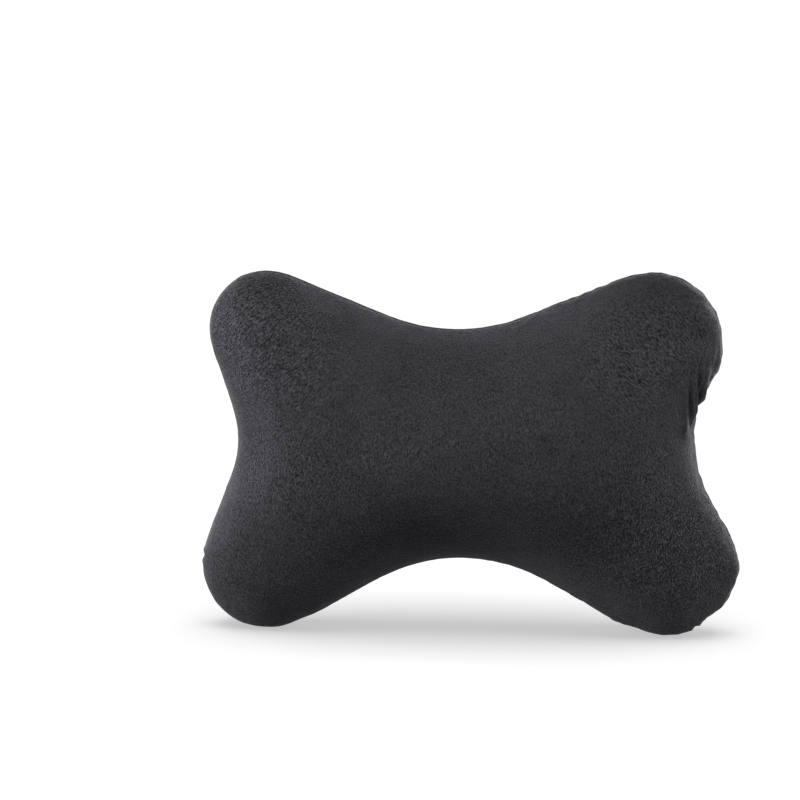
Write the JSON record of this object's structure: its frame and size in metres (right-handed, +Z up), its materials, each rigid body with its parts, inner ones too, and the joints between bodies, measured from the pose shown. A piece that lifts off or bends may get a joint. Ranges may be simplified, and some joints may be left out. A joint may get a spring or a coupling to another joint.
{
  "type": "car neck pillow",
  "caption": "Bone-shaped plush car neck pillow, stuffed with fibre, that stands on its two lower lobes, with a flat elastic headrest strap across the back.",
  "frame": {"origin": "on the surface the pillow stands on, under the middle of its width and depth", "axes": "+X along the width, to the right as seen from the front; +Y from the front to the back, through the depth; +Z up, from the two lower lobes to the two upper ones"},
  "size_m": [0.2831, 0.0968, 0.1916],
  "materials": {
    "plush": "short dark grey plush with a soft sheen",
    "fibre": "loose white polyester fibre",
    "elastic": "black woven elastic webbing"
  },
  "bodies": {
    "root": {"front_panel": "plush", "back_panel": "plush", "fibre_filling": "fibre", "headrest_strap": "elastic"}
  },
  "joints": []
}
